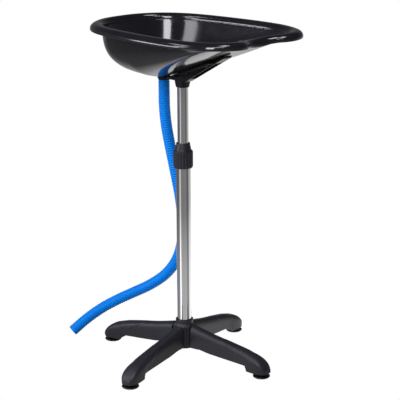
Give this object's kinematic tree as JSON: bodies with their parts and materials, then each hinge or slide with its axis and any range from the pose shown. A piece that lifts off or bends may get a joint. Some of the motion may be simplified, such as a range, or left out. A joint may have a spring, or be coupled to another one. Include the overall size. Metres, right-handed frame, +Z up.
{
  "type": "pet bathtub on telescopic stand",
  "caption": "Moulded pet wash basin with a neck rest and drain hose, held by a bracket on a twist-lock telescopic column over a splayed base with levelling pads.",
  "frame": {"origin": "on the floor, at the centre of the footprint of everything but the hose", "axes": "+X to the neck rest along the basin's long axis, +Y to the basin's left seen from the bowl end, +Z up"},
  "size_m": [0.6468, 0.5228, 0.899],
  "materials": {
    "basin_plastic": "high gloss",
    "moulded_black": "fine satin grain",
    "tube_steel": "polished",
    "zinc_steel": "zinc plated",
    "drain_plastic": "semi gloss",
    "pad_plastic": "gloss",
    "seal_rubber": "matt",
    "hose_blue": "soft gloss, corrugated"
  },
  "bodies": {
    "stand": {"hub": "moulded_black", "leg_1": "moulded_black", "leg_2": "moulded_black", "leg_3": "moulded_black", "leg_4": "moulded_black", "leg_screw_1": "zinc_steel", "leg_screw_2": "zinc_steel", "leg_screw_3": "zinc_steel", "leg_screw_4": "zinc_steel", "tube_plug": "moulded_black", "tube_bolt": "zinc_steel", "tube_washer": "zinc_steel", "lower_tube": "tube_steel", "clamp_adapter": "moulded_black"},
    "lock": {"lock_collar": "moulded_black"},
    "collet": {"collet": "moulded_black"},
    "mast": {"upper_tube": "tube_steel", "guide_bush": "moulded_black", "bracket": "moulded_black", "socket_screw": "zinc_steel", "basin": "basin_plastic", "basin_screw_1": "zinc_steel", "basin_screw_2": "zinc_steel", "basin_screw_3": "zinc_steel", "basin_screw_4": "zinc_steel", "drain_flange": "drain_plastic", "drain_gasket": "seal_rubber", "drain_nut": "drain_plastic", "drain_hose": "hose_blue"},
    "strainer": {"hair_strainer": "drain_plastic"},
    "foot_1": {"foot_pad_1": "pad_plastic", "foot_stud_1": "zinc_steel"},
    "foot_2": {"foot_pad_2": "pad_plastic", "foot_stud_2": "zinc_steel"},
    "foot_3": {"foot_pad_3": "pad_plastic", "foot_stud_3": "zinc_steel"},
    "foot_4": {"foot_pad_4": "pad_plastic", "foot_stud_4": "zinc_steel"}
  },
  "joints": [
    {"name": "basin_swivel", "type": "hinge", "parent": "stand", "child": "collet", "pos_m": [-0.0174, 0, 0.574], "axis": [0, 0, 1], "continuous": true},
    {"name": "height_slide", "type": "slide", "parent": "collet", "child": "mast", "axis": [0, 0, 1], "range_m": [-0.115, 0.2], "deforming": ["drain_hose"]},
    {"name": "collar_turn", "type": "hinge", "parent": "stand", "child": "lock", "pos_m": [-0.0174, 0, 0.55], "axis": [0, 0, 1], "range_deg": [0, 180]},
    {"name": "strainer_lift", "type": "slide", "parent": "mast", "child": "strainer", "axis": [0, 0, 1], "range_m": [0, 0.03]},
    {"name": "foot_level_1", "type": "slide", "parent": "stand", "child": "foot_1", "axis": [0, 0, 1], "range_m": [-0.008, 0]},
    {"name": "foot_level_2", "type": "slide", "parent": "stand", "child": "foot_2", "axis": [0, 0, 1], "range_m": [-0.008, 0]},
    {"name": "foot_level_3", "type": "slide", "parent": "stand", "child": "foot_3", "axis": [0, 0, 1], "range_m": [-0.008, 0]},
    {"name": "foot_level_4", "type": "slide", "parent": "stand", "child": "foot_4", "axis": [0, 0, 1], "range_m": [-0.008, 0]}
  ]
}
